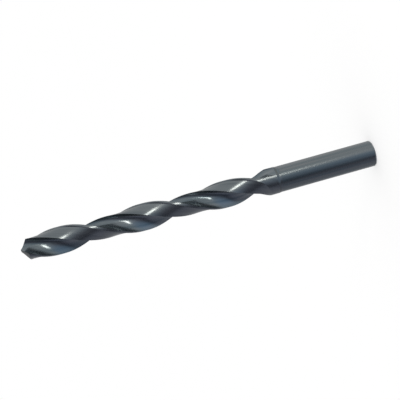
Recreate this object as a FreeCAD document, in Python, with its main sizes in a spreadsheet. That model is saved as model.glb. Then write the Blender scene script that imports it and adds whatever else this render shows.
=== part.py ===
import FreeCAD, Part
import math
import os
import Sketcher

Vector = FreeCAD.Vector

# Driving dimensions in millimetres and degrees. The drill stands on its shank end, point up,
# with its axis on +Z and the middle of the shank's end face at the origin.
DIMENSIONS = (
    ("overall_length", 128.2, "shank end to chisel edge"),
    ("flute_length", 93.4, "chisel edge to the end of the run-outs"),
    ("cutting_diameter", 9.525, "across the margins"),
    ("shank_diameter", 9.25, "plain shank held by the chuck"),
    ("shank_chamfer", 0.45, "broken edge at the end of the shank"),
    ("shoulder_setback", 1.4, "end of the run-outs up to the larger diameter"),
    ("shoulder_height", 0.6, "length of the small cone between the two diameters"),
    ("helix_lead", 59.9, "advance in one turn, right hand"),
    ("web_at_point", 1.52, "core between the flutes at the point"),
    ("web_at_shank", 2.5, "core between the flutes at the run-outs"),
    ("margin_width", 0.86, "bearing strip along each leading edge"),
    ("margin_step_width", 0.22, "slope from the margin down to the clearance"),
    ("land_angle", 83.2, "leading edge to heel, seen along the axis"),
    ("margin_clearance", 0.43, "depth of the cleared land beside the margin"),
    ("heel_clearance", 1.0, "depth of the cleared land at the heel"),
    ("land_back_radius", 6.8, "curve of the cleared land"),
    ("clearance_setback", 3.9, "end of the run-outs up to the end of the clearance"),
    ("clearance_fade", 5.5, "length over which the clearance fades out"),
    ("runout_length", 10.3, "length over which the flutes fade out"),
    ("runout_blend", 2.4, "curved entry of each run-out"),
    ("point_angle", 118.0, "between the two lips"),
    ("grind_half_angle", 35.0, "half angle of the cone that each flank is ground to"),
    ("grind_apex_distance", 9.6, "cone's apex to the drill's axis, along the lip"),
    ("grind_offset", 0.95, "cone's axis ahead of the lip, which gives the lip relief"),
)

# The bar's skin is kept in quarters, so that no helical cut runs across a closed face's seam
BLANK_SECTORS = 4

# The helical cutters reach past the blank: outwards in radii of the drill, at both ends in
# millimetres, up the heel wall in spans of the flute's bottom, and past the heel in degrees
CUTTER_REACH = 1.35
CUTTER_OVERRUN = 1.5
WALL_REACH = 1.45
RELIEF_OVERLAP = 24.0

# The rake face is one curve through these places, with the core at 0 and the rim at 1
RAKE_PLACES = (1.4, 0.9, 0.45, 0.0)

# Sections of a helical cutter: the turn between two in degrees, the steps in its run-out, and
# the degree of the surfaces through them
TURN_STEP = 30.0
RUNOUT_STEPS = 7
LOFT_DEGREE = 5


def make_sheet(doc):
    """Write the driving dimensions into a spreadsheet, one row each."""
    sheet = doc.addObject("Spreadsheet::Sheet", "Dimensions")
    for row, (alias, value, meaning) in enumerate(DIMENSIONS, start=1):
        sheet.set("A%d" % row, alias)
        sheet.set("B%d" % row, str(value))
        sheet.set("C%d" % row, meaning)
        sheet.setAlias("B%d" % row, alias)
    doc.recompute()
    return sheet


def make_blank(doc):
    """Turn the bar: plain shank, small shoulder and the larger fluted length."""
    body = doc.addObject("PartDesign::Body", "Blank")
    body.Label = "turned_blank"
    plane = next(item for item in body.Origin.OriginFeatures if item.Role == "XZ_Plane")
    sketch = body.newObject("Sketcher::SketchObject", "BlankProfile")
    sketch.AttachmentSupport = (plane, "")
    sketch.MapMode = "FlatFace"
    rough_corners = [Vector(*place) for place in ((0, 0), (4, 0), (4, 30), (5, 31), (5, 120), (0, 120))]
    for start, end in zip(rough_corners, rough_corners[1:] + rough_corners[:1]):
        sketch.addGeometry(Part.LineSegment(start, end), False)
    count = len(rough_corners)
    for index in range(count):
        sketch.addConstraint(Sketcher.Constraint("Coincident", index, 2, (index + 1) % count, 1))
    sketch.addConstraint(Sketcher.Constraint("Coincident", 0, 1, -1, 1))
    for index in (0, 4):
        sketch.addConstraint(Sketcher.Constraint("Horizontal", index))
    for index in (1, 3, 5):
        sketch.addConstraint(Sketcher.Constraint("Vertical", index))
    sizes = (
        ("DistanceX", 0, 1, 0, 2, 4.0, "shank_radius", "Dimensions.shank_diameter / 2"),
        ("DistanceY", 1, 1, 1, 2, 30.0, "shank_length",
         "Dimensions.overall_length - Dimensions.flute_length + Dimensions.shoulder_setback"
         " - Dimensions.shoulder_height"),
        ("DistanceY", 2, 1, 2, 2, 1.0, "shoulder", "Dimensions.shoulder_height"),
        ("DistanceX", 4, 2, 4, 1, 5.0, "body_radius", "Dimensions.cutting_diameter / 2"),
        ("DistanceY", 5, 2, 5, 1, 120.0, "length", "Dimensions.overall_length"),
    )
    for kind, first, first_end, second, second_end, value, name, expression in sizes:
        number = sketch.addConstraint(
            Sketcher.Constraint(kind, first, first_end, second, second_end, value))
        sketch.renameConstraint(number, name)
        sketch.setExpression("Constraints." + name, expression)
    turning = body.newObject("PartDesign::Revolution", "Quarter")
    turning.Profile = sketch
    turning.ReferenceAxis = (sketch, ["V_Axis"])
    turning.Angle = 360.0 / BLANK_SECTORS
    turning.Refine = False
    doc.recompute()
    quarters = body.newObject("PartDesign::PolarPattern", "Quarters")
    quarters.Originals = [turning]
    quarters.Axis = (sketch, ["V_Axis"])
    quarters.Angle = 360.0
    quarters.Occurrences = BLANK_SECTORS
    quarters.Refine = False
    body.Tip = quarters
    doc.recompute()
    chamfer = body.newObject("PartDesign::Chamfer", "ShankEnd")
    chamfer.Base = (quarters, lowest_edges(quarters.Shape))
    chamfer.setExpression("Size", "Dimensions.shank_chamfer")
    chamfer.Refine = False
    doc.recompute()
    return body


def lowest_edges(shape):
    """Name the arcs round the shank's end face."""
    return ["Edge%d" % (index + 1) for index, edge in enumerate(shape.Edges)
            if edge.BoundBox.ZMax < 1e-6 and edge.Curve.TypeId == "Part::GeomCircle"]


class Grind:
    """Everything that follows from the dimensions and that the cutters share."""

    def __init__(self, sheet):
        """Read the sheet, and work out the radii, angles and heights of the cutting edges."""
        for alias, _, _ in DIMENSIONS:
            setattr(self, alias, float(getattr(sheet, alias)))
        self.radius = self.cutting_diameter / 2
        self.half_web = self.web_at_point / 2
        self.half_point = math.radians(self.point_angle / 2)
        self.flute_end = self.overall_length - self.flute_length
        self.corner_angle = math.asin(self.half_web / self.radius)
        lip_reach = math.sqrt(self.radius ** 2 - self.half_web ** 2)
        self.corner_height = self.overall_length - lip_reach / math.tan(self.half_point)
        self.margin_angle = self.margin_width / self.radius
        self.step_angle = self.margin_step_width / self.radius
        self.reach = CUTTER_REACH * self.radius

    def turn(self, height):
        """Angle of the leading edge at a height, in radians."""
        return self.corner_angle + 2 * math.pi * (height - self.corner_height) / self.helix_lead

    def web(self, height):
        """Half the core's thickness, which grows from the point to the shank."""
        share = (self.overall_length - height) / self.flute_length
        return self.half_web + share * (self.web_at_shank - self.web_at_point) / 2

    def lift(self, height, full_depth, length, rise):
        """How far a cutter has backed out at a height: a curved entry, then a straight ramp."""
        travel = full_depth - height
        blend = min(self.runout_blend, length)
        slope = rise / (length - blend / 2)
        if travel <= 0:
            return 0.0
        if travel < blend:
            return slope * travel ** 2 / (2 * blend)
        return slope * (travel - blend / 2)


def polar(radius, angle):
    """Point in the section plane at a radius and an angle."""
    return Vector(radius * math.cos(angle), radius * math.sin(angle), 0)


def lip_angle(grind, radius, half_web):
    """Angle from the leading edge to the rake face, so that the ground lip comes out straight."""
    outer_reach = math.sqrt(grind.radius ** 2 - grind.half_web ** 2)
    reach = math.sqrt(max(radius ** 2 - half_web ** 2, 0.0))
    rise = (outer_reach - reach) / math.tan(grind.half_point)
    ahead = math.asin(min(half_web / radius, 1.0)) - grind.corner_angle
    return ahead - 2 * math.pi * rise / grind.helix_lead


def rake_point(grind, place, core):
    """Point of the rake face where a straight ground lip needs it: 0 at the core, 1 at the rim."""
    radius = math.hypot(core, place * math.sqrt(grind.radius ** 2 - core ** 2))
    share = min((radius - core) / (grind.radius - core), 1.0)
    return polar(radius, lip_angle(grind, radius, core + share * (grind.half_web - core)))


def flute_wire(grind, height):
    """Flute section: straight-lip rake face, then one arc for the bottom and the wall to the heel."""
    core = grind.web(height)
    curve = Part.BSplineCurve()
    curve.interpolate(Points=[rake_point(grind, place, core) for place in RAKE_PLACES],
                      Parameters=[RAKE_PLACES[0] - place for place in RAKE_PLACES])
    foot = rake_point(grind, 0.0, core)
    outward = Vector(foot).normalize()
    heel = polar(grind.radius - grind.heel_clearance, math.pi - math.radians(grind.land_angle))
    chord = heel - foot
    bottom_radius = chord.dot(chord) / (2 * chord.dot(outward))
    centre = foot + outward * bottom_radius
    start = math.atan2(foot.y - centre.y, foot.x - centre.x)
    sweep = 2 * math.asin(chord.Length / (2 * bottom_radius)) * WALL_REACH
    first = rake_point(grind, RAKE_PLACES[0], core)
    last = centre + polar(bottom_radius, start - sweep)
    outside = polar(2 * grind.radius, (math.atan2(first.y, first.x) + math.atan2(last.y, last.x)) / 2)
    wire = Part.Wire([
        curve.toShape(),
        Part.Arc(foot, centre + polar(bottom_radius, start - sweep / 2), last).toShape(),
        Part.LineSegment(last, outside).toShape(),
        Part.LineSegment(outside, first).toShape(),
    ])
    rise = grind.shank_diameter / 2 - grind.web(grind.flute_end)
    full_depth = grind.flute_end + grind.runout_length
    wire.translate(outward * grind.lift(height, full_depth, grind.runout_length, rise))
    return place_section(wire, grind, height)


def relief_wire(grind, height):
    """Land section: slope down from the margin, then the curved clearance past the heel."""
    heel_angle = -math.radians(grind.land_angle)
    margin = polar(grind.radius, -grind.margin_angle)
    shallow = polar(grind.radius - grind.margin_clearance, -grind.margin_angle - grind.step_angle)
    heel = polar(grind.radius - grind.heel_clearance, heel_angle)
    chord = heel - shallow
    inward = Vector(chord.y, -chord.x, 0).normalize()
    if inward.dot(shallow) > 0:
        inward = inward * -1
    rise = math.sqrt(grind.land_back_radius ** 2 - (chord.Length / 2) ** 2)
    centre = (shallow + heel) * 0.5 + inward * rise
    start = math.atan2(shallow.y - centre.y, shallow.x - centre.x)
    sweep = 2 * math.asin(chord.Length / (2 * grind.land_back_radius))
    past = sweep + math.radians(RELIEF_OVERLAP) * grind.radius / grind.land_back_radius
    middle = centre + polar(grind.land_back_radius, start - past / 2)
    end = centre + polar(grind.land_back_radius, start - past)
    slope = (margin - shallow).normalize()
    outer_start = shallow + slope * (grind.reach - shallow.Length)
    outer_end = Vector(end).normalize() * grind.reach
    outer_middle = polar(grind.reach, (heel_angle - grind.margin_angle) / 2)
    wire = Part.Wire([
        Part.LineSegment(outer_start, shallow).toShape(),
        Part.Arc(shallow, middle, end).toShape(),
        Part.LineSegment(end, outer_end).toShape(),
        Part.Arc(outer_end, outer_middle, outer_start).toShape(),
    ])
    half_span = (math.radians(grind.land_angle) - grind.margin_angle) / 2
    full_depth = grind.flute_end + grind.clearance_setback + grind.clearance_fade
    backed_out = grind.lift(height, full_depth, grind.clearance_fade,
                            grind.heel_clearance / math.cos(half_span))
    wire.translate(polar(backed_out, (heel_angle - grind.margin_angle) / 2))
    return place_section(wire, grind, height)


def place_section(wire, grind, height):
    """Turn a section to its place on the helix and raise it to its height."""
    wire.rotate(Vector(0, 0, 0), Vector(0, 0, 1), math.degrees(grind.turn(height)))
    wire.translate(Vector(0, 0, height))
    return wire


def stations(grind, end, length):
    """Heights of a cutter's sections: close together in the run-out, then even up the helix."""
    bottom = end - CUTTER_OVERRUN
    full_depth = end + length
    top = grind.overall_length + CUTTER_OVERRUN
    fine = (full_depth - bottom) / RUNOUT_STEPS
    turns = math.degrees(grind.turn(top) - grind.turn(full_depth))
    coarse_count = max(3, math.ceil(turns / TURN_STEP))
    coarse = (top - full_depth) / coarse_count
    low = [bottom + index * fine for index in range(RUNOUT_STEPS)]
    return low + [full_depth + index * coarse for index in range(coarse_count + 1)]


def make_cutters(doc, grind, name, label, section, heights):
    """Loft one helical cutter through its sections, and its twin half a turn round."""
    sections = [section(grind, height) for height in heights]
    solid = Part.makeLoft(sections, True, False, False, LOFT_DEGREE)
    pair = []
    for index in range(2):
        cutter = doc.addObject("Part::Feature", "%s%d" % (name, index + 1))
        cutter.Label = "%s_%d" % (label, index + 1)
        cutter.Shape = solid
        cutter.Placement = FreeCAD.Placement(Vector(0, 0, 0), Vector(0, 0, 1), 180.0 * index)
        pair.append(cutter)
    return pair


def make_grinding_cones(doc, grind):
    """Two long cones, half a turn apart. Each leaves one flank, and they meet in the chisel edge."""
    tilt = grind.half_point - math.radians(grind.grind_half_angle)
    cosine = math.cos(math.radians(grind.grind_half_angle))
    beside = grind.grind_apex_distance * math.sin(grind.half_point)
    ahead = grind.half_web + grind.grind_offset
    square = math.cos(tilt) ** 2 - cosine ** 2
    linear = 2 * beside * math.sin(tilt) * math.cos(tilt)
    constant = (beside * math.sin(tilt)) ** 2 - cosine ** 2 * (beside ** 2 + ahead ** 2)
    above = (-linear + math.sqrt(linear ** 2 - 4 * square * constant)) / (2 * square)
    apex = Vector(-beside, ahead, grind.overall_length + above)
    length = "(Dimensions.overall_length + 2 * Dimensions.cutting_diameter)"
    cones = []
    for index in range(2):
        cone = doc.addObject("Part::Cone", "FlankCone%d" % (index + 1))
        cone.Label = "flank_cone_%d" % (index + 1)
        cone.setExpression("Height", length)
        cone.setExpression("Radius1", length + " * tan(Dimensions.grind_half_angle)")
        cone.Radius2 = 0.0
        doc.recompute()
        leaning = FreeCAD.Rotation(Vector(0, 1, 0), -math.degrees(tilt))
        base = apex - leaning.multVec(Vector(0, 0, cone.Height.Value))
        half_turn = FreeCAD.Placement(Vector(0, 0, 0), Vector(0, 0, 1), 180.0 * index)
        cone.Placement = half_turn.multiply(FreeCAD.Placement(base, leaning))
        cones.append(cone)
    return cones


def work(doc, operation, name, base, tools):
    """Cut tools from a base, or keep what it has in common with them, one after another."""
    for index, tool in enumerate(tools):
        result = doc.addObject(operation, "%s%d" % (name, index + 1))
        result.Base = base
        result.Tool = tool
        result.Refine = False
        doc.recompute()
        base = result
    return base


def check(doc, part):
    """Stop if any object failed or the drill isn't one valid solid."""
    for item in doc.Objects:
        if "Invalid" in item.State or "Error" in item.State:
            raise RuntimeError("%s failed: %s" % (item.Label, item.State))
    shape = part.Shape
    if shape.isNull() or not shape.isValid():
        raise RuntimeError("%s has no valid shape" % part.Label)
    if len(shape.Solids) != 1:
        raise RuntimeError("%s has %d solids" % (part.Label, len(shape.Solids)))


def main():
    """Turn the bar, mill the flutes, clear the lands, grind the point and write the drill."""
    os.makedirs("parts", exist_ok=True)
    doc = FreeCAD.newDocument("TwistDrill")
    sheet = make_sheet(doc)
    grind = Grind(sheet)
    blank = make_blank(doc)
    clearance_end = grind.flute_end + grind.clearance_setback
    reliefs = make_cutters(doc, grind, "Relief", "clearance_cutter", relief_wire,
                           stations(grind, clearance_end, grind.clearance_fade))
    flutes = make_cutters(doc, grind, "Flute", "flute_cutter", flute_wire,
                          stations(grind, grind.flute_end, grind.runout_length))
    fluted = work(doc, "Part::Cut", "Fluted", blank, flutes)
    cleared = work(doc, "Part::Cut", "Cleared", fluted, reliefs)
    drill = work(doc, "Part::Common", "Ground", cleared, make_grinding_cones(doc, grind))
    drill.Label = "twist_drill"
    drill.Refine = True
    doc.recompute()
    check(doc, drill)
    drill.Shape.exportStep("parts/%s.step" % drill.Label)
    print("volume %.1f mm3" % drill.Shape.Volume)


main()
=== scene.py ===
"""A jobber-length twist drill in blackened steel, on a plain white floor under soft light.

The drill stands on its shank with its point up, as the CAD frame has it, and the camera is rolled
so that the drill lies across the picture with its point at the lower left. Sizes are in millimetres
and angles in degrees, unless a name or a comment says otherwise, and MM turns them into metres.
"""

import logging
import math
from dataclasses import dataclass
from enum import Enum
from typing import Callable, Union

import bmesh
import bpy
from mathutils import Matrix, Vector


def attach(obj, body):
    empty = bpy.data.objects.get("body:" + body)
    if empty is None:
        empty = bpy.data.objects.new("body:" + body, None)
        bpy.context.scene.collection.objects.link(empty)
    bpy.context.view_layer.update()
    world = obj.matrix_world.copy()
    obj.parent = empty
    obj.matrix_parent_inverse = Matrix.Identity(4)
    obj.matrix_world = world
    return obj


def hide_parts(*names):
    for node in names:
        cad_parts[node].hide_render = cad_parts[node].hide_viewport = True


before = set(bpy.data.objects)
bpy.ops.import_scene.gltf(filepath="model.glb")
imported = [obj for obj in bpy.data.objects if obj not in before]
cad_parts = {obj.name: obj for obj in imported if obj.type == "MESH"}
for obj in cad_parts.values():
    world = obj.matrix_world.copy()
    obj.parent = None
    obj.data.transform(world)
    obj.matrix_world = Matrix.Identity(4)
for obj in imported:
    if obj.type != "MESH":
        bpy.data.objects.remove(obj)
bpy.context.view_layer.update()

MM = 0.001
WHITE = (1.0, 1.0, 1.0, 1.0)
HALVINGS = 40

Colour = tuple[float, float, float]
NodeValue = Union[bpy.types.NodeSocket, Vector, tuple[float, ...], float]

log = logging.getLogger("twist_drill")


class Surface(Enum):
    """The drill's surfaces, by how they are machined, in the order of the piece's materials; the
    shoulder's and the flank's colours also carry painted shade.
    """

    LAND = 0
    FLUTE = 1
    SHANK = 2
    SHOULDER = 3
    FLANK = 4


class Marks(Enum):
    """Grinding marks and oxide streaks, by how many there are in a metre along X, Y and Z."""

    ROUND = (12.0, 12.0, 7000.0)
    LENGTHWISE = (1100.0, 1100.0, 14.0)
    HELICAL = (1500.0, 1500.0, 30.0)
    HELICAL_STREAKS = (620.0, 620.0, 24.0)
    ACROSS = (260.0, 2600.0, 260.0)

    @property
    def follow_helix(self) -> bool:
        """Whether they run up the helix, as a flute cutter leaves them."""
        return self in (Marks.HELICAL, Marks.HELICAL_STREAKS)


def polar(radius: float, angle: float) -> Vector:
    """Point in the section plane at a radius and an angle in radians."""
    return Vector((radius * math.cos(angle), radius * math.sin(angle)))


def bearing(point: Vector) -> float:
    """Angle of a point in the section plane, in radians."""
    return math.atan2(point.y, point.x)


def change_place(low: float, high: float, holds: Callable[[float], bool]) -> float:
    """Find the place where a test stops holding, by halving the stretch between two places.

    Args:
        low: A place where the test holds.
        high: A place where it doesn't.
        holds: The test.

    Returns:
        The place between them, to far less than a micrometre.
    """
    for _ in range(HALVINGS):
        middle = (low + high) / 2
        low, high = (middle, high) if holds(middle) else (low, middle)
    return (low + high) / 2


def extrude_rim(mesh: bmesh.types.BMesh, rim: list[bmesh.types.BMEdge]
                ) -> tuple[list[bmesh.types.BMVert], list[bmesh.types.BMEdge]]:
    """Extrude the open rim of a mesh by one ring of faces, whose corners are still to be placed.

    Args:
        mesh: The mesh.
        rim: The rim's edges.

    Returns:
        The new corners, and the edges of the new rim.
    """
    made = bmesh.ops.extrude_edge_only(mesh, edges=rim)["geom"]
    corners = [item for item in made if isinstance(item, bmesh.types.BMVert)]
    edges = [item for item in made if isinstance(item, bmesh.types.BMEdge) and item.is_boundary]
    return corners, edges


def as_object(mesh: bmesh.types.BMesh, name: str) -> bpy.types.Object:
    """Turn a bmesh into an object at the origin.

    Args:
        mesh: The bmesh, which is freed.
        name: The object's name.

    Returns:
        The linked object.
    """
    data = bpy.data.meshes.new(name)
    mesh.to_mesh(data)
    mesh.free()
    made = bpy.data.objects.new(name, data)
    bpy.context.scene.collection.objects.link(made)
    return made


@dataclass
class DrillForm:
    """Sizes of the drill, and what follows from them at a height above the shank's end."""

    overall_length: float = 128.2
    flute_length: float = 93.4
    cutting_diameter: float = 9.525
    shank_diameter: float = 9.25
    shank_chamfer: float = 0.45
    shoulder_setback: float = 1.4
    shoulder_height: float = 0.6
    helix_lead: float = 59.9
    web_at_point: float = 1.52
    web_at_shank: float = 2.5
    margin_width: float = 0.86
    margin_step_width: float = 0.22
    land_angle: float = 83.2
    margin_clearance: float = 0.43
    heel_clearance: float = 1.0
    land_back_radius: float = 6.8
    clearance_setback: float = 3.9
    clearance_fade: float = 5.5
    runout_length: float = 10.3
    runout_blend: float = 2.4
    point_angle: float = 118.0
    grind_half_angle: float = 35.0
    grind_apex_distance: float = 9.6
    grind_offset: float = 0.95

    def __post_init__(self) -> None:
        """Work out the sizes that most sections need."""
        self.radius = self.cutting_diameter / 2
        self.half_web = self.web_at_point / 2
        self.half_point = math.radians(self.point_angle / 2)
        self.flute_end = self.overall_length - self.flute_length
        self.shoulder_top = self.flute_end + self.shoulder_setback
        self.shoulder_bottom = self.shoulder_top - self.shoulder_height
        self.corner_angle = math.asin(self.half_web / self.radius)
        reach = math.sqrt(self.radius**2 - self.half_web**2)
        self.corner_height = self.overall_length - reach / math.tan(self.half_point)

    def turn(self, height: float) -> float:
        """Angle of the leading edge at a height, in radians."""
        return self.corner_angle + math.tau * (height - self.corner_height) / self.helix_lead

    def core(self, height: float) -> float:
        """Half the core's thickness at a height."""
        share = (self.overall_length - height) / self.flute_length
        return self.half_web + share * (self.web_at_shank - self.web_at_point) / 2

    def skin(self, height: float) -> float:
        """Work out the turned bar's radius.

        Args:
            height: Height above the shank's end.

        Returns:
            The radius of the shank, of the shoulder's cone or of the margins.
        """
        shank = self.shank_diameter / 2
        if height >= self.shoulder_top:
            return self.radius
        if height > self.shoulder_bottom:
            rise = (height - self.shoulder_bottom) / self.shoulder_height
            return shank + rise * (self.radius - shank)
        return shank - max(self.shank_chamfer - height, 0.0)

    def lift(self, travel: float, length: float, rise: float) -> float:
        """Work out how far a cutter has backed out: a curved entry, then a straight ramp.

        Args:
            travel: Distance below the height where the cutter starts to back out.
            length: Distance in which the cutter backs out.
            rise: How far it has backed out by then.

        Returns:
            The distance it has moved outwards.
        """
        blend = min(self.runout_blend, length)
        slope = rise / (length - blend / 2)
        if travel < blend:
            return slope * max(travel, 0.0) ** 2 / (2 * blend)
        return slope * (travel - blend / 2)


@dataclass
class DrillSection:
    """One cross-section of the drill: half of it is worked out, and the other half is its twin.

    A place on the flute is a number: 0 at the foot of the rake face, down to -1 at the leading
    edge, and up to 1 at the heel.
    """

    form: DrillForm
    height: float

    FLUTE_POINTS = 36
    LAND_POINTS = 26
    STEP_POINTS = 2
    MARGIN_POINTS = 10
    LEAST_LAND_SHARE = 0.6
    DEEPEST_PLACES = tuple(index / 20 for index in range(-10, 21))
    PAST_EDGE = -1.4
    PAST_HEEL = 1.45
    LEAST_CLEARANCE = 1e-6

    def __post_init__(self) -> None:
        """Place the flute's bottom and the cleared land."""
        self.station = max(self.height, self.form.flute_end)
        self.skin = self.form.skin(self.height)
        self.core = self.form.core(self.station)
        self.place_flute()
        self.place_land()

    def place_flute(self) -> None:
        """Work out the arc of the flute's bottom, and how far the flute cutter has backed out."""
        form = self.form
        foot = self.rake(0.0)
        outward = foot.normalized()
        heel_angle = math.pi - math.radians(form.land_angle)
        self.heel = polar(form.radius - form.heel_clearance, heel_angle)
        chord = self.heel - foot
        self.bottom_radius = chord.dot(chord) / (2 * chord.dot(outward))
        self.bottom_centre = foot + outward * self.bottom_radius
        self.bottom_start = bearing(foot - self.bottom_centre)
        self.bottom_sweep = 2 * math.asin(chord.length / (2 * self.bottom_radius))
        rise = form.shank_diameter / 2 - form.core(form.flute_end)
        travel = form.flute_end + form.runout_length - self.station
        self.flute_lift = outward * form.lift(travel, form.runout_length, rise)

    def place_land(self) -> None:
        """Work out the cleared land's arc and the slope up to the other half's margin."""
        form = self.form
        margin_angle = math.pi - form.margin_width / form.radius
        step_angle = margin_angle - form.margin_step_width / form.radius
        margin = polar(form.radius, margin_angle)
        shallow = polar(form.radius - form.margin_clearance, step_angle)
        chord = self.heel - shallow
        inward = Vector((chord.y, -chord.x)).normalized()
        if inward.dot(shallow) > 0:
            inward = -inward
        rise = math.sqrt(form.land_back_radius**2 - (chord.length / 2) ** 2)
        half_span = (margin_angle - bearing(self.heel)) / 2
        travel = form.flute_end + form.clearance_setback + form.clearance_fade - self.station
        self.is_cleared = travel < form.clearance_fade
        depth = form.heel_clearance / math.cos(half_span)
        backed_out = polar(form.lift(travel, form.clearance_fade, depth), margin_angle - half_span)
        self.land_centre = (shallow + self.heel) / 2 + inward * rise + backed_out
        self.step_foot = shallow + backed_out
        self.step_slope = (margin - shallow).normalized()

    def rake(self, place: float) -> Vector:
        """Find a point of the rake face that gives the ground point a straight lip.

        Args:
            place: Place on the face, 0 at the core and 1 at the rim.

        Returns:
            The point in the section plane.
        """
        form = self.form
        radius = math.hypot(self.core, place * math.sqrt(form.radius**2 - self.core**2))
        share = min((radius - self.core) / (form.radius - self.core), 1.0)
        half_web = self.core + share * (form.half_web - self.core)
        outer_reach = math.sqrt(form.radius**2 - form.half_web**2)
        reach = math.sqrt(max(radius**2 - half_web**2, 0.0))
        drop = (outer_reach - reach) / math.tan(form.half_point)
        ahead = math.asin(min(half_web / radius, 1.0)) - form.corner_angle
        return polar(radius, ahead - math.tau * drop / form.helix_lead)

    def flute(self, place: float) -> Vector:
        """Find a point of the flute.

        Args:
            place: Place on the flute: below 0 on the rake face, and above 0 on its bottom.

        Returns:
            The point in the section plane.
        """
        if place < 0:
            return self.rake(-place) + self.flute_lift
        angle = self.bottom_start - place * self.bottom_sweep
        return self.bottom_centre + polar(self.bottom_radius, angle) + self.flute_lift

    def land(self, angle: float) -> float:
        """Work out the land's radius.

        Args:
            angle: Angle between the heel and the other half's leading edge, in radians.

        Returns:
            The radius of the cleared land, of the step beside the margin, or of the margin.
        """
        if not self.is_cleared:
            return self.skin
        direction = polar(1.0, angle)
        if angle > bearing(self.step_foot):
            across = Vector((self.step_slope.y, -self.step_slope.x))
            facing = direction.dot(across)
            slope = self.step_foot.dot(across) / facing if facing else 0.0
            return min(self.skin, slope) if slope > 0 else self.skin
        along = self.land_centre.dot(direction)
        square = along**2 - self.land_centre.length_squared + self.form.land_back_radius**2
        return min(self.skin, along + math.sqrt(max(square, 0.0)))

    def in_bar(self, place: float) -> bool:
        """Whether a place on the flute lies inside the turned bar."""
        return self.flute(place).length < self.skin

    def in_land(self, place: float) -> bool:
        """Whether a place on the flute lies inside the land."""
        point = self.flute(place)
        return point.length < self.land(bearing(point))

    def cleared(self, angle: float) -> bool:
        """Whether the land lies below the turned bar at an angle."""
        return self.land(angle) < self.skin - self.LEAST_CLEARANCE

    def flute_points(self) -> list[Vector]:
        """Draw the flute from the leading edge to the heel.

        Returns:
            Its points, which all lie in one place where the flute has left the bar.
        """
        deepest = min(self.DEEPEST_PLACES, key=lambda place: self.flute(place).length)
        if not self.in_bar(deepest):
            edge = polar(self.skin, bearing(self.flute(deepest)))
            return [edge.copy() for _ in range(self.FLUTE_POINTS + 1)]
        first = change_place(deepest, self.PAST_EDGE, self.in_bar)
        inside = self.in_land if self.in_land(deepest) else self.in_bar
        last = change_place(deepest, self.PAST_HEEL, inside)
        step = (last - first) / self.FLUTE_POINTS
        return [self.flute(first + index * step) for index in range(self.FLUTE_POINTS + 1)]

    def half(self) -> list[Vector]:
        """Draw half the section: the flute, the cleared land, the step and the margin.

        Returns:
            Its points from one leading edge to the next, anticlockwise.
        """
        points = self.flute_points()
        start = bearing(points[-1])
        end = bearing(points[0]) + math.pi
        foot = bearing(self.step_foot)
        if self.step_foot.length > self.skin:
            foot = change_place(bearing(self.heel), foot, self.cleared)
            head = foot
        else:
            head = change_place(foot, end, self.cleared)
        foot = max(foot, start + self.LEAST_LAND_SHARE * (end - start))
        head = max(head, foot)
        for low, high, count in ((start, foot, self.LAND_POINTS), (foot, head, self.STEP_POINTS),
                                 (head, end, self.MARGIN_POINTS)):
            angles = [low + (high - low) * index / count for index in range(1, count + 1)]
            points += [polar(self.land(angle), angle) for angle in angles]
        return points[:-1]

    def ring(self) -> list[Vector]:
        """Put the whole section in its place.

        Returns:
            Its points in space, in metres, turned to their place on the helix.
        """
        half = self.half()
        turned = Matrix.Rotation(self.form.turn(self.station), 2)
        flat = [turned @ point for point in half + [-point for point in half]]
        return [Vector((point.x, point.y, self.height)) * MM for point in flat]


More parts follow.
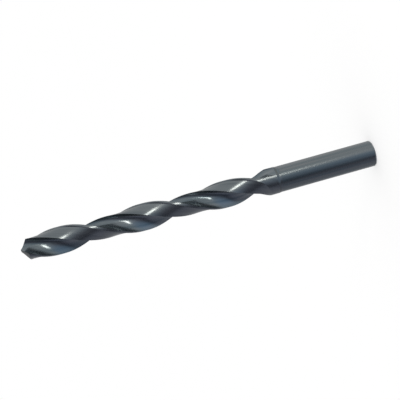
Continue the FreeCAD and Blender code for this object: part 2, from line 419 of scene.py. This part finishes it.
@dataclass
class PointGrind:
    """The two flank cones, half a turn apart, which meet in the chisel edge."""

    form: DrillForm
    segments: int = 96
    rings: int = 24
    reach: float = 5.6

    def __post_init__(self) -> None:
        """Place the first cone so that the chisel edge comes out at the drill's full length."""
        form = self.form
        self.tilt = form.half_point - math.radians(form.grind_half_angle)
        self.narrow = math.cos(math.radians(form.grind_half_angle)) ** 2
        self.beside = form.grind_apex_distance * math.sin(form.half_point)
        self.ahead = form.half_web + form.grind_offset
        self.apex = form.overall_length - self.fall(self.beside, -self.ahead)

    def fall(self, along: float, across: float) -> float:
        """Solve a cone's equation for the height of its surface.

        Args:
            along: Distance from the apex along the lips.
            across: Distance from the apex across the lips.

        Returns:
            The height from the apex, which is negative under it.
        """
        sine, cosine = math.sin(self.tilt), math.cos(self.tilt)
        square = cosine**2 - self.narrow
        half_linear = along * sine * cosine
        constant = (along * sine) ** 2 - self.narrow * (along**2 + across**2)
        return (half_linear - math.sqrt(half_linear**2 - square * constant)) / square

    def flank(self, point: Vector, side: int) -> float:
        """Height of one flank's cone over a point of the section plane, for side 1 or -1."""
        return self.apex + self.fall(side * point.x + self.beside, side * point.y - self.ahead)

    def height(self, point: Vector) -> float:
        """Height of the ground point over a point of the section plane."""
        return min(self.flank(point, 1), self.flank(point, -1))

    def crease(self, radius: float) -> float:
        """Angle of the chisel edge at a radius, in radians."""
        return change_place(0.0, math.pi / 2, lambda angle: self.flank(polar(radius, angle), 1)
                            < self.flank(polar(radius, angle), -1))

    def build(self) -> bpy.types.Object:
        """Make the form that the drill is ground to, as a closed block under both cones.

        Returns:
            The block's object, which is only used to cut the drill.
        """
        mesh = bmesh.new()
        step = self.reach / self.rings
        bmesh.ops.create_circle(mesh, cap_ends=True, cap_tris=True, segments=self.segments,
                                radius=step * MM)
        rim = [edge for edge in mesh.edges if edge.is_boundary]
        for ring in range(2, self.rings + 1):
            corners, rim = extrude_rim(mesh, rim)
            growth = ring / (ring - 1)
            bmesh.ops.scale(mesh, verts=corners, vec=(growth, growth, 1.0))
        self.raise_cones(mesh, step)
        foot, rim = extrude_rim(mesh, rim)
        for corner in foot:
            corner.co.z = -self.reach * MM
        bmesh.ops.contextual_create(mesh, geom=rim)
        bmesh.ops.recalc_face_normals(mesh, faces=mesh.faces)
        return as_object(mesh, "grinding_form")

    def raise_cones(self, mesh: bmesh.types.BMesh, step: float) -> None:
        """Turn a flat disc's rings so that a line of corners follows the chisel edge, and raise them.

        Args:
            mesh: The disc.
            step: Distance between its rings.
        """
        for corner in mesh.verts:
            radius = corner.co.xy.length / MM
            if radius > step / 2:
                angle = bearing(corner.co.xy) + self.crease(radius)
                corner.co.xy = polar(radius * MM, angle)
            corner.co.z = self.height(corner.co.xy / MM) * MM


@dataclass
class TwistDrill:
    """The whole drill: one bar, fluted, cleared and ground."""

    form: DrillForm
    shank_step: float = 3.0
    runout_step: float = 0.2
    helix_step: float = 0.5
    sharp_angle: float = 24.0
    doubled_distance: float = 0.0001
    cut_doubled_distance: float = 0.001

    def heights(self) -> list[float]:
        """Choose the sections: few in the shank, close in the run-outs, even up the helix.

        Returns:
            Their heights, the last of them past the point.
        """
        form = self.form
        fixed = [0.0, form.shank_chamfer, form.flute_end, form.shoulder_bottom, form.shoulder_top,
                 form.flute_end + form.runout_length, form.overall_length + 2 * self.helix_step]
        steps = [form.shank_chamfer, self.shank_step, self.runout_step, self.runout_step,
                 self.runout_step, self.helix_step]
        heights = [0.0]
        for low, high, step in zip(fixed, fixed[1:], steps):
            count = max(1, round((high - low) / step))
            heights += [low + (high - low) * index / count for index in range(1, count + 1)]
        return heights

    def surface(self, face: bmesh.types.BMFace, numbers: set[int]) -> Surface:
        """Tell which surface a face of the fluted bar belongs to.

        Args:
            face: The face.
            numbers: The numbers of its corners' points in their half section.

        Returns:
            The surface.
        """
        height = face.calc_center_median().z / MM
        if height < self.form.flute_end:
            return Surface.SHANK
        if self.form.shoulder_bottom < height < self.form.shoulder_top:
            return Surface.SHOULDER
        if len(numbers) == 2 and max(numbers) <= DrillSection.FLUTE_POINTS:
            return Surface.FLUTE
        return Surface.LAND

    def loft(self) -> bpy.types.Object:
        """Draw the section up the drill, ring by ring.

        Returns:
            The fluted bar, with its material numbers set by surface.
        """
        mesh = bmesh.new()
        column = mesh.verts.layers.int.new("column")
        rings = [DrillSection(self.form, height).ring() for height in self.heights()]
        corners = [mesh.verts.new(place) for place in rings[0]]
        for index, corner in enumerate(corners):
            corner[column] = index
        rim = [mesh.edges.new((corner, corners[index - 1])) for index, corner in enumerate(corners)]
        bmesh.ops.contextual_create(mesh, geom=rim)
        for ring in rings[1:]:
            corners, rim = extrude_rim(mesh, rim)
            for corner in corners:
                corner.co = ring[corner[column]]
        bmesh.ops.contextual_create(mesh, geom=rim)
        half = len(rings[0]) // 2
        for face in mesh.faces:
            numbers = {corner[column] % half for corner in face.verts}
            face.material_index = self.surface(face, numbers).value
        bmesh.ops.remove_doubles(mesh, verts=mesh.verts, dist=self.doubled_distance * MM)
        bmesh.ops.recalc_face_normals(mesh, faces=mesh.faces)
        return as_object(mesh, "twist_drill_body")

    def grind(self, bar: bpy.types.Object, block: bpy.types.Object) -> None:
        """Cut the bar to the point's form, and put the result in the bar's mesh.

        Args:
            bar: The fluted bar.
            block: The form of the ground point, which is deleted.
        """
        cut = bar.modifiers.new("point", "BOOLEAN")
        cut.operation = "INTERSECT"
        cut.solver = "EXACT"
        cut.object = block
        cut.material_mode = "TRANSFER"
        evaluated = bar.evaluated_get(bpy.context.evaluated_depsgraph_get())
        ground = bpy.data.meshes.new_from_object(evaluated)
        bar.modifiers.clear()
        bar.data = ground
        bpy.data.objects.remove(block)
        self.trim(ground)

    def trim(self, ground: bpy.types.Mesh) -> None:
        """Merge the cut's doubled corners, and drop those where only two edges meet.

        Args:
            ground: The mesh that the point's form was cut into.
        """
        mesh = bmesh.new()
        mesh.from_mesh(ground)
        bmesh.ops.remove_doubles(mesh, verts=mesh.verts, dist=self.cut_doubled_distance * MM)
        spare = [corner for corner in mesh.verts if len(corner.link_edges) == 2]
        bmesh.ops.dissolve_verts(mesh, verts=spare)
        mesh.to_mesh(ground)
        mesh.free()

    def build(self, finishes: dict[Surface, bpy.types.Material]) -> bpy.types.Object:
        """Make the drill in place of the CAD node and dress it.

        Args:
            finishes: A material for each surface.

        Returns:
            The drill's object.
        """
        bar = self.loft()
        block = PointGrind(self.form).build()
        for surface, finish in finishes.items():
            owner = block if surface is Surface.FLANK else bar
            owner.data.materials.append(finish)
        self.grind(bar, block)
        for face in bar.data.polygons:
            face.use_smooth = True
        bar.data.set_sharp_from_angle(angle=math.radians(self.sharp_angle))
        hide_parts("twist_drill")
        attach(bar, "root")
        return bar


@dataclass
class NodeBench:
    """A node tree, with a short way to add nodes that are already linked."""

    tree: bpy.types.NodeTree

    def feed(self, node: bpy.types.Node, inputs: dict[str | int, NodeValue]) -> None:
        """Link or set a node's inputs.

        Args:
            node: The node.
            inputs: For each input, by name or number, the socket or the value that it gets.
        """
        for name, value in inputs.items():
            if isinstance(value, bpy.types.NodeSocket):
                self.tree.links.new(value, node.inputs[name])
            else:
                node.inputs[name].default_value = value

    def add(self, kind: str, inputs: dict[str | int, NodeValue], **options: str) -> bpy.types.Node:
        """Add a node.

        Args:
            kind: The node's type.
            inputs: For each input, by name or number, the socket or the value that it gets.
            options: The node's own options, which are set first.

        Returns:
            The node.
        """
        node = self.tree.nodes.new(kind)
        for name, choice in options.items():
            setattr(node, name, choice)
        self.feed(node, inputs)
        return node

    def blend(self, share: bpy.types.NodeSocket, first: NodeValue,
              second: NodeValue) -> bpy.types.NodeSocket:
        """Mix two colours.

        Args:
            share: The second colour's share.
            first: The first colour.
            second: The second colour.

        Returns:
            The mixed colour.
        """
        mix = self.add("ShaderNodeMix", {"Factor": share, "A": first, "B": second}, data_type="RGBA")
        return mix.outputs["Result"]


@dataclass(frozen=True)
class BlackOxide:
    """Blackened steel: a dark blue-grey mirror, roughened by how the surface was ground.

    The streaks blend the colour into the cloud's colour, within the contrast to either side of their
    middle. The marks roughen the finish and stand out by their depth. The lead is the helix's.
    """

    name: str
    colour: Colour
    cloud_colour: Colour
    roughness: float
    marks: Marks
    streaks: Marks
    lead: float
    roughness_spread: float = 0.04
    mark_depth: float = 0.001
    contrast: float = 0.2
    metallic: float = 0.86
    mark_detail: float = 2.0
    streak_detail: float = 3.0

    def untwisted(self, bench: NodeBench, place: bpy.types.NodeSocket) -> bpy.types.NodeSocket:
        """Turn every place back to where its flute starts, so that marks follow the helix.

        Args:
            bench: The material's nodes.
            place: The place on the drill.

        Returns:
            The place, turned about the drill's axis.
        """
        parts = bench.add("ShaderNodeSeparateXYZ", {"Vector": place})
        turn_in_metre = -math.tau / (self.lead * MM)
        angle = bench.add("ShaderNodeMath", {0: parts.outputs["Z"], 1: turn_in_metre},
                          operation="MULTIPLY")
        turned = bench.add("ShaderNodeVectorRotate", {"Vector": place, "Angle": angle.outputs["Value"]},
                           rotation_type="Z_AXIS")
        return turned.outputs["Vector"]

    def noise(self, bench: NodeBench, marks: Marks, detail: float) -> bpy.types.NodeSocket:
        """Add a noise that is stretched along the marks.

        Args:
            bench: The material's nodes.
            marks: The marks.
            detail: How many finer noises are added to it.

        Returns:
            The noise, from 0 to 1.
        """
        place = bench.add("ShaderNodeTexCoord", {}).outputs["Object"]
        if marks.follow_helix:
            place = self.untwisted(bench, place)
        stretch = bench.add("ShaderNodeMapping", {"Scale": marks.value, "Vector": place})
        noise = bench.add("ShaderNodeTexNoise", {"Vector": stretch.outputs["Vector"],
                                                 "Scale": 1.0, "Detail": detail})
        return noise.outputs["Fac"]

    def build(self) -> bpy.types.Material:
        """Make the material.

        Returns:
            A material that reads Object coordinates alone.
        """
        material = bpy.data.materials.new(self.name)
        material.use_nodes = True
        bench = NodeBench(material.node_tree)
        cloud = bench.add("ShaderNodeMapRange", {
            "Value": self.noise(bench, self.streaks, self.streak_detail),
            "From Min": 0.5 - self.contrast,
            "From Max": 0.5 + self.contrast,
        })
        tint = bench.blend(cloud.outputs["Result"], (*self.colour, 1.0), (*self.cloud_colour, 1.0))
        marks = self.noise(bench, self.marks, self.mark_detail)
        rough = bench.add("ShaderNodeMapRange", {
            "Value": marks,
            "To Min": self.roughness - self.roughness_spread,
            "To Max": self.roughness + self.roughness_spread,
        })
        relief = bench.add("ShaderNodeBump", {
            "Height": marks,
            "Strength": 1.0,
            "Distance": self.mark_depth * MM,
        })
        bench.feed(material.node_tree.nodes["Principled BSDF"], {
            "Base Color": tint,
            "Metallic": self.metallic,
            "Roughness": rough.outputs["Result"],
            "Normal": relief.outputs["Normal"],
        })
        return material


def drill_finishes(lead: float) -> dict[Surface, BlackOxide]:
    """Choose the finish of each surface.

    Args:
        lead: The helix's lead.

    Returns:
        The finishes, in the order of the piece's materials.
    """
    return {
        Surface.LAND: BlackOxide("black_oxide_land", (0.102, 0.120, 0.132), (0.152, 0.170, 0.180),
                                 0.23, Marks.ROUND, Marks.HELICAL_STREAKS, lead),
        Surface.FLUTE: BlackOxide("black_oxide_flute", (0.082, 0.112, 0.130), (0.172, 0.190, 0.202),
                                  0.22, Marks.HELICAL, Marks.HELICAL_STREAKS, lead,
                                  mark_depth=0.0008),
        Surface.SHANK: BlackOxide("black_oxide_shank", (0.096, 0.124, 0.138), (0.160, 0.172, 0.180),
                                  0.27, Marks.ROUND, Marks.LENGTHWISE, lead),
        # The shoulder's colour is the shank's steel made darker and less blue, to damp the cool light's
        # reflection on the cone: painted shade.
        Surface.SHOULDER: BlackOxide("black_oxide_and_painted_shade_shoulder", (0.085, 0.098, 0.104),
                                     (0.125, 0.138, 0.144), 0.34, Marks.ROUND, Marks.ROUND, lead),
        # The flank's colour is black oxide, darkened further to stand in for the shade on the point:
        # painted shade.
        Surface.FLANK: BlackOxide("black_oxide_and_painted_shade_flank", (0.045, 0.055, 0.06), (0.085, 0.095, 0.10),
                                  0.42, Marks.ACROSS, Marks.ACROSS, lead),
    }


@dataclass
class CameraView:
    """The camera, which faces the drill's side and is rolled to lay it across the picture.

    It looks at the aim height from an angle round towards the point, and is then shifted above the
    drill's axis by a share of the drill's radius.
    """

    form: DrillForm
    azimuth: float = 29.2
    distance: float = 349.8
    aim_height: float = 64.03
    point_swing: float = 6.0
    roll: float = 15.6
    axis_rise: float = 0.086
    lens: float = 90.0
    nearest: float = 10.0
    farthest: float = 10000.0

    def __post_init__(self) -> None:
        """Set the three directions that the view and the light are given by."""
        azimuth = math.radians(self.azimuth)
        self.shankward = Vector((0.0, 0.0, -1.0))
        self.facing = Vector((math.cos(azimuth), math.sin(azimuth), 0.0))
        self.above = self.facing.cross(self.shankward)

    def direction(self, height_angle: float, swing: float) -> Vector:
        """Find a direction from the drill.

        Args:
            height_angle: Angle above the side that faces the camera, round the drill.
            swing: Angle towards the shank.

        Returns:
            The direction.
        """
        high, sideways = math.radians(height_angle), math.radians(swing)
        outward = self.facing * math.cos(high) + self.above * math.sin(high)
        return outward * math.cos(sideways) + self.shankward * math.sin(sideways)

    def build(self) -> bpy.types.Object:
        """Place the camera.

        Returns:
            The camera, which the scene renders with.
        """
        roll = math.radians(self.roll)
        aim = Vector((0.0, 0.0, self.aim_height)) + self.above * self.axis_rise * self.form.radius
        eye = aim + self.direction(0.0, -self.point_swing) * self.distance
        across = self.direction(0.0, 90.0 - self.point_swing)
        right = across * math.cos(roll) - self.above * math.sin(roll)
        up = across * math.sin(roll) + self.above * math.cos(roll)
        data = bpy.data.cameras.new("camera")
        data.lens = self.lens
        data.clip_start, data.clip_end = self.nearest * MM, self.farthest * MM
        camera = bpy.data.objects.new("camera", data)
        turned = Matrix((right, up, right.cross(up))).transposed().to_4x4()
        camera.matrix_world = Matrix.Translation(eye * MM) @ turned
        bpy.context.scene.collection.objects.link(camera)
        bpy.context.scene.camera = camera
        return camera


@dataclass
class Softbox:
    """The one lamp: a warm softbox above the camera, with its length along the drill."""

    view: CameraView
    height_angle: float = 33.0
    swing: float = 3.0
    distance: float = 600.0
    length: float = 200.0
    width: float = 104.0
    watts: float = 0.90
    colour: Colour = (1.0, 0.93, 0.82)

    def build(self) -> bpy.types.Object:
        """Place the lamp, facing the drill's middle.

        Returns:
            The lamp.
        """
        middle = Vector((0.0, 0.0, self.view.form.overall_length / 2))
        out = self.view.direction(self.height_angle, self.swing)
        data = bpy.data.lights.new("softbox", "AREA")
        data.shape = "RECTANGLE"
        data.size, data.size_y = self.length * MM, self.width * MM
        data.energy = self.watts
        data.color = self.colour
        lamp = bpy.data.objects.new("softbox", data)
        shankward = self.view.shankward
        right = (shankward - out * shankward.dot(out)).normalized()
        turned = Matrix((right, out.cross(right), out)).transposed().to_4x4()
        lamp.matrix_world = Matrix.Translation((middle + out * self.distance) * MM) @ turned
        bpy.context.scene.collection.objects.link(lamp)
        return lamp


@dataclass
class Floor:
    """The white floor: it takes the drill's shadow, and its glow is seen by the camera alone."""

    half_width: float = 4000.0
    grey: float = 0.45
    glow: float = 0.55

    def build(self) -> bpy.types.Object:
        """Lay the floor, and leave it out of reflections.

        Returns:
            The floor.
        """
        mesh = bmesh.new()
        bmesh.ops.create_grid(mesh, x_segments=1, y_segments=1, size=self.half_width * MM)
        floor = as_object(mesh, "floor")
        material = bpy.data.materials.new("white_floor")
        material.use_nodes = True
        bench = NodeBench(material.node_tree)
        path = bench.add("ShaderNodeLightPath", {})
        glow = bench.add("ShaderNodeMath", {0: path.outputs["Is Camera Ray"], 1: self.glow},
                         operation="MULTIPLY")
        bench.feed(material.node_tree.nodes["Principled BSDF"], {
            "Base Color": (self.grey, self.grey, self.grey, 1.0),
            "Roughness": 1.0,
            "Specular IOR Level": 0.0,
            "Emission Color": WHITE,
            "Emission Strength": glow.outputs["Value"],
        })
        floor.data.materials.append(material)
        floor.visible_glossy = False
        return floor


@dataclass
class Surroundings:
    """A white world, in which the steel reflects a room of its own.

    The room's colours are given by the angle round the drill, 0 towards the camera and 90 above it.
    A cool light towards the shank lies over them. Nearer to the shank's direction comes a bright
    ground, with a shade right under the drill. Each starts at its edge and is full at its core,
    which are angles from its direction.
    """

    view: CameraView
    room: tuple[tuple[float, Colour], ...] = (
        (-170.0, (0.65, 0.65, 0.65)),
        (-95.0, (0.44, 0.42, 0.48)),
        (-60.0, (0.29, 0.29, 0.37)),
        (-40.0, (0.05, 0.05, 0.09)),
        (-24.0, (0.10, 0.10, 0.14)),
        (-6.0, (0.23, 0.23, 0.28)),
        (16.0, (0.70, 0.74, 0.80)),
        (45.0, (1.0, 1.0, 1.0)),
        (120.0, (1.0, 1.0, 1.0)),
        (160.0, (0.65, 0.65, 0.65)),
    )
    cool_colour: Colour = (0.64, 0.84, 1.10)
    cool_height_angle: float = 2.0
    cool_swing: float = 44.0
    cool_edge: float = 42.0
    cool_core: float = 0.0
    cool_share: float = 0.85
    ground_colour: Colour = (1.2, 1.2, 1.25)
    ground_edge: float = 48.0
    ground_core: float = 32.0
    shade_colour: Colour = (0.40, 0.42, 0.46)
    shade_edge: float = 30.0
    shade_core: float = 19.0

    def along(self, bench: NodeBench, direction: Vector) -> bpy.types.NodeSocket:
        """Make the cosine between a ray and a direction.

        Args:
            bench: The world's nodes.
            direction: The direction.

        Returns:
            The cosine.
        """
        ray = bench.add("ShaderNodeTexCoord", {}).outputs["Generated"]
        dot = bench.add("ShaderNodeVectorMath", {0: ray, 1: direction}, operation="DOT_PRODUCT")
        return dot.outputs["Value"]

    def round_drill(self, bench: NodeBench) -> bpy.types.NodeSocket:
        """Make the room's colour from the ray's angle round the drill.

        Args:
            bench: The world's nodes.

        Returns:
            The colour.
        """
        inputs = {0: self.along(bench, self.view.above), 1: self.along(bench, self.view.facing)}
        angle = bench.add("ShaderNodeMath", inputs, operation="ARCTAN2")
        turn = bench.add("ShaderNodeMapRange", {
            "Value": angle.outputs["Value"],
            "From Min": -math.pi,
            "From Max": math.pi,
        })
        ramp = bench.add("ShaderNodeValToRGB", {"Fac": turn.outputs["Result"]})
        stops = ramp.color_ramp.elements
        for place, colour in self.room:
            stops.new(place / 360.0 + 0.5).color = (*colour, 1.0)
        stops.remove(stops[0])
        stops.remove(stops[len(stops) - 1])
        return ramp.outputs["Color"]

    def rise(self, bench: NodeBench, direction: Vector, edge: float, core: float,
             most: float = 1.0) -> bpy.types.NodeSocket:
        """Make a share that rises smoothly towards a direction.

        Args:
            bench: The world's nodes.
            direction: The direction.
            edge: Angle from the direction where the share leaves 0.
            core: Angle from the direction within which it is full.
            most: The full share.

        Returns:
            The share.
        """
        fade = bench.add("ShaderNodeMapRange", {
            "Value": self.along(bench, direction),
            "From Min": math.cos(math.radians(edge)),
            "From Max": math.cos(math.radians(core)),
            "To Max": most,
        }, interpolation_type="SMOOTHSTEP")
        return fade.outputs["Result"]

    def build(self) -> bpy.types.World:
        """Make the world, in which only glossy rays see the room.

        Returns:
            The world.
        """
        world = bpy.data.worlds.new("surroundings")
        world.use_nodes = True
        bench = NodeBench(world.node_tree)
        shankward = self.view.shankward
        cool_side = self.view.direction(self.cool_height_angle, self.cool_swing)
        cool = self.rise(bench, cool_side, self.cool_edge, self.cool_core, self.cool_share)
        seen = bench.blend(cool, self.round_drill(bench), (*self.cool_colour, 1.0))
        under = self.rise(bench, shankward, self.shade_edge, self.shade_core)
        ground = bench.blend(under, (*self.ground_colour, 1.0), (*self.shade_colour, 1.0))
        low = self.rise(bench, shankward, self.ground_edge, self.ground_core)
        seen = bench.blend(low, seen, ground)
        glossy = bench.add("ShaderNodeLightPath", {}).outputs["Is Glossy Ray"]
        bench.feed(world.node_tree.nodes["Background"], {
            "Color": bench.blend(glossy, WHITE, seen),
            "Strength": 1.0,
        })
        bpy.context.scene.world = world
        return world


def main() -> None:
    """Build the drill and its stage, and log each piece."""
    logging.basicConfig(level=logging.INFO, format="%(name)s: %(message)s")
    form = DrillForm()
    view = CameraView(form)
    finishes = {surface: finish.build() for surface, finish in drill_finishes(form.helix_lead).items()}
    drill = TwistDrill(form).build(finishes)
    log.info("%s has %d faces", drill.name, len(drill.data.polygons))
    for piece in (Floor(), Surroundings(view), Softbox(view), view):
        log.info("%s is in place", piece.build().name)
    bpy.context.scene.view_settings.view_transform = "Standard"


if __name__ == "__main__":
    main()
